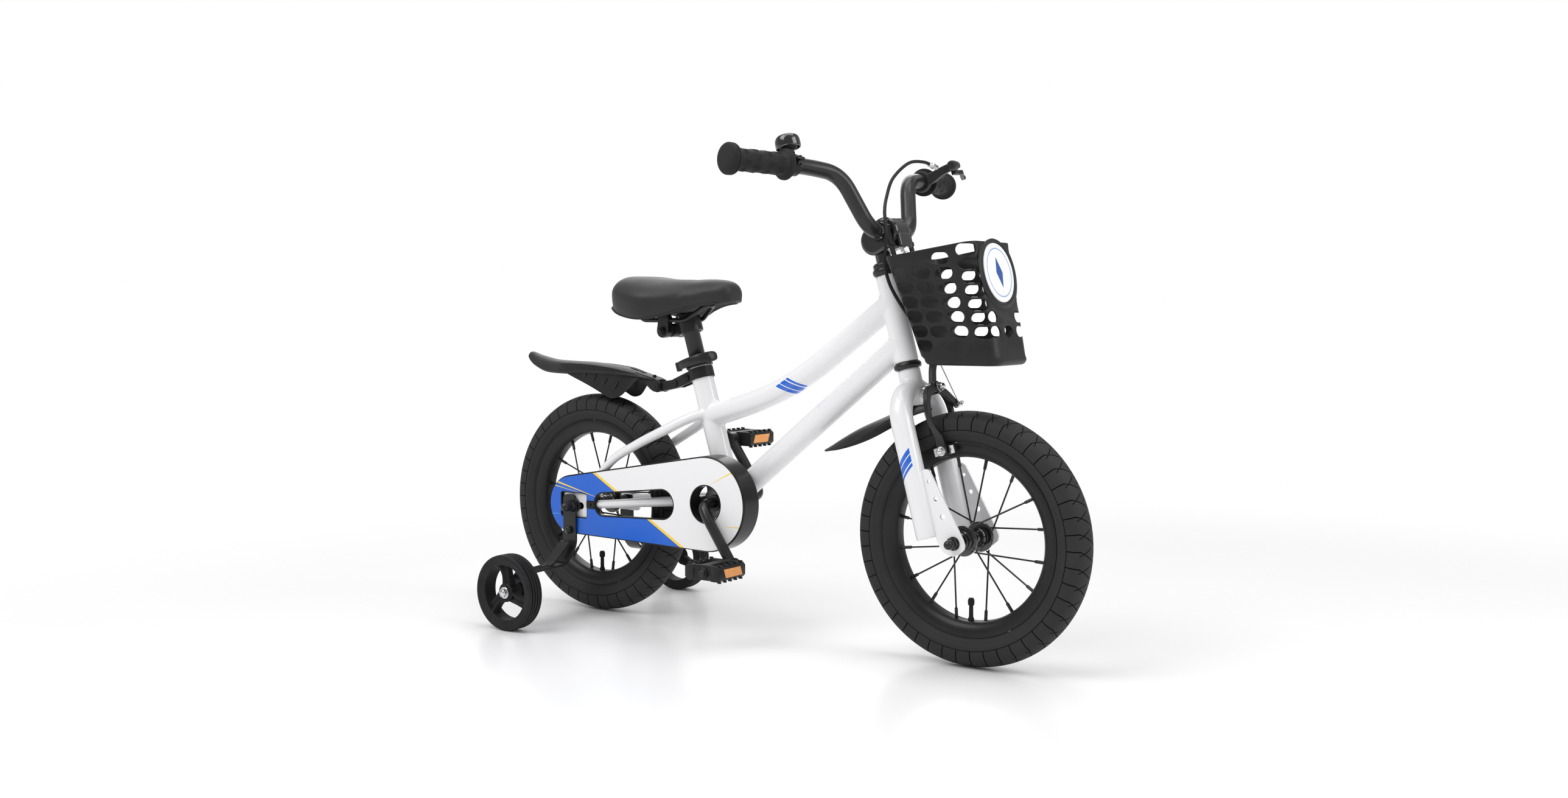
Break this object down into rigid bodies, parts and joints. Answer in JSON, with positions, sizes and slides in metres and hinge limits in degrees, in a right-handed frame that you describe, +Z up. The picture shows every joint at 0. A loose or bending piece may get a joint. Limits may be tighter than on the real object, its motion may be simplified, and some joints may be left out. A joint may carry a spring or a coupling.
{
  "type": "kids bicycle with training wheels",
  "caption": "Child's bicycle with a front basket, enclosed chain guard, caliper brake, mudguards and a pair of training wheels.",
  "frame": {"origin": "on the ground under the rear axle, in the middle of the rear tyre contact", "axes": "+X towards the front wheel, +Y towards the rider left, +Z up"},
  "size_m": [1.032, 0.573, 0.7232],
  "materials": {
    "paint_white": "gloss white",
    "paint_black": "gloss black",
    "steel_black": "satin black",
    "plastic_black": "fine satin grain",
    "rubber_black": "matt",
    "tyre_black": "matt",
    "vinyl_black": "soft satin vinyl",
    "chrome": "bright",
    "alloy": "satin",
    "steel_dark": "oiled",
    "panel_white": "gloss white"
  },
  "bodies": {
    "frame": {"frame": "paint_white", "headset_cup_lower": "steel_black", "headset_cup_upper": "steel_black", "bracket_cup_right": "steel_black", "bracket_cup_left": "steel_black", "fender_clamp": "plastic_black", "seat_band": "steel_black", "chain_guard": "plastic_black", "chain_guard_panel": "panel_white", "rear_axle": "steel_black", "training_bracket_right": "steel_black", "training_bracket_left": "steel_black", "training_bolt_right": "chrome", "training_bolt_left": "chrome", "chain": "steel_dark"},
    "rear_wheel": {"rear_tyre": "tyre_black", "rear_rim": "steel_black", "rear_hub": "steel_black"},
    "rear_cog": {"rear_cog": "steel_dark"},
    "crankset": {"crank": "steel_black", "chainring": "steel_dark"},
    "pedal_right": {"pedal_right": "plastic_black"},
    "pedal_left": {"pedal_left": "plastic_black"},
    "training_wheel_right": {"training_wheel_right": "rubber_black"},
    "training_wheel_left": {"training_wheel_left": "rubber_black"},
    "steering": {"fork": "paint_white", "headset_lock_nut": "steel_black", "stem": "paint_black", "stem_bolt": "chrome", "handlebar": "steel_black", "grip_right": "rubber_black", "grip_left": "rubber_black", "bell_base": "plastic_black", "bell_dome": "paint_black", "brake_lever_bracket": "plastic_black", "brake_cable": "rubber_black", "basket": "plastic_black", "basket_badge": "panel_white", "basket_strap_right": "rubber_black", "basket_strap_left": "rubber_black", "front_axle": "steel_black", "front_fender": "plastic_black", "caliper_bolt": "chrome"},
    "front_wheel": {"front_tyre": "tyre_black", "front_rim": "steel_black", "front_hub": "steel_black"},
    "bell_lever": {"bell_lever": "plastic_black"},
    "brake_lever": {"brake_lever": "plastic_black"},
    "caliper_right": {"caliper_arm_right": "alloy", "brake_pad_right": "rubber_black"},
    "caliper_left": {"caliper_arm_left": "alloy", "brake_pad_left": "rubber_black"},
    "seat": {"seat_post": "steel_black", "saddle_pad": "vinyl_black", "saddle_base": "plastic_black", "saddle_rails": "steel_black", "saddle_clamp": "steel_black"},
    "seat_release_lever": {"seat_release_lever": "steel_black"},
    "fender_link": {"fender_link": "plastic_black"},
    "rear_fender": {"rear_fender": "plastic_black"}
  },
  "joints": [
    {"name": "steer", "type": "hinge", "parent": "frame", "child": "steering", "pos_m": [0.57698, 0, 0.41094], "axis": [-0.2588, 0, 0.9659], "range_deg": [-45, 45]},
    {"name": "front_wheel_spin", "type": "hinge", "parent": "steering", "child": "front_wheel", "pos_m": [0.68, 0, 0.176], "axis": [0, 1, 0], "continuous": true},
    {"name": "rear_wheel_spin", "type": "hinge", "parent": "frame", "child": "rear_wheel", "pos_m": [0, 0, 0.176], "axis": [0, 1, 0], "continuous": true},
    {"name": "crank_spin", "type": "hinge", "parent": "frame", "child": "crankset", "pos_m": [0.267, 0, 0.1985], "axis": [0, 1, 0], "continuous": true},
    {"name": "cog_spin", "type": "hinge", "parent": "frame", "child": "rear_cog", "pos_m": [0, 0, 0.176], "axis": [0, 1, 0], "continuous": true},
    {"name": "pedal_right_spin", "type": "hinge", "parent": "crankset", "child": "pedal_right", "pos_m": [0.33019, -0.123, 0.11464], "axis": [0, 1, 0], "continuous": true},
    {"name": "pedal_left_spin", "type": "hinge", "parent": "crankset", "child": "pedal_left", "pos_m": [0.20381, 0.123, 0.28236], "axis": [0, 1, 0], "continuous": true},
    {"name": "training_wheel_right_spin", "type": "hinge", "parent": "frame", "child": "training_wheel_right", "pos_m": [-0.006, -0.204, 0.058], "axis": [0, 1, 0], "continuous": true},
    {"name": "training_wheel_left_spin", "type": "hinge", "parent": "frame", "child": "training_wheel_left", "pos_m": [-0.006, 0.204, 0.058], "axis": [0, 1, 0], "continuous": true},
    {"name": "brake_squeeze", "type": "hinge", "parent": "steering", "child": "brake_lever", "pos_m": [0.54592, 0.18733, 0.69496], "axis": [-0.2518, -0.0668, 0.9655], "range_deg": [0, 13], "stiffness_Nm_per_rad": 0.6, "springref_deg": -8.59},
    {"name": "caliper_right_close", "type": "hinge", "parent": "steering", "child": "caliper_right", "pos_m": [0.58733, 0, 0.37231], "axis": [0.9659, 0, 0.2588], "range_deg": [0, 1.05]},
    {"name": "caliper_left_close", "type": "hinge", "parent": "steering", "child": "caliper_left", "pos_m": [0.58733, 0, 0.37231], "axis": [0.9659, 0, 0.2588], "range_deg": [-1.05, 0]},
    {"name": "bell_flick", "type": "hinge", "parent": "steering", "child": "bell_lever", "pos_m": [0.48523, -0.16798, 0.69644], "axis": [-0.2518, 0.0668, 0.9655], "range_deg": [0, 14], "stiffness_Nm_per_rad": 0.05, "springref_deg": -11.46},
    {"name": "seat_height", "type": "slide", "parent": "frame", "child": "seat", "axis": [-0.2924, 0, 0.9563], "range_m": [-0.035, 0.045]},
    {"name": "seat_release", "type": "hinge", "parent": "frame", "child": "seat_release_lever", "pos_m": [0.17811, -0.018, 0.40033], "axis": [-0.2924, 0, 0.9563], "range_deg": [-95, 0]},
    {"name": "fender_link_tilt", "type": "hinge", "parent": "frame", "child": "fender_link", "pos_m": [0.16487, 0, 0.37411], "axis": [0, 1, 0], "range_deg": [-4, 12]},
    {"name": "rear_fender_tilt", "type": "hinge", "parent": "fender_link", "child": "rear_fender", "pos_m": [0.12787, 0, 0.36711], "axis": [0, 1, 0], "range_deg": [-3, 12]}
  ],
  "couplings": [
    {"joint": "cog_spin", "follows": "crank_spin", "ratio": 2},
    {"joint": "caliper_right_close", "follows": "brake_squeeze", "ratio": 0.08},
    {"joint": "caliper_left_close", "follows": "brake_squeeze", "ratio": -0.08}
  ]
}
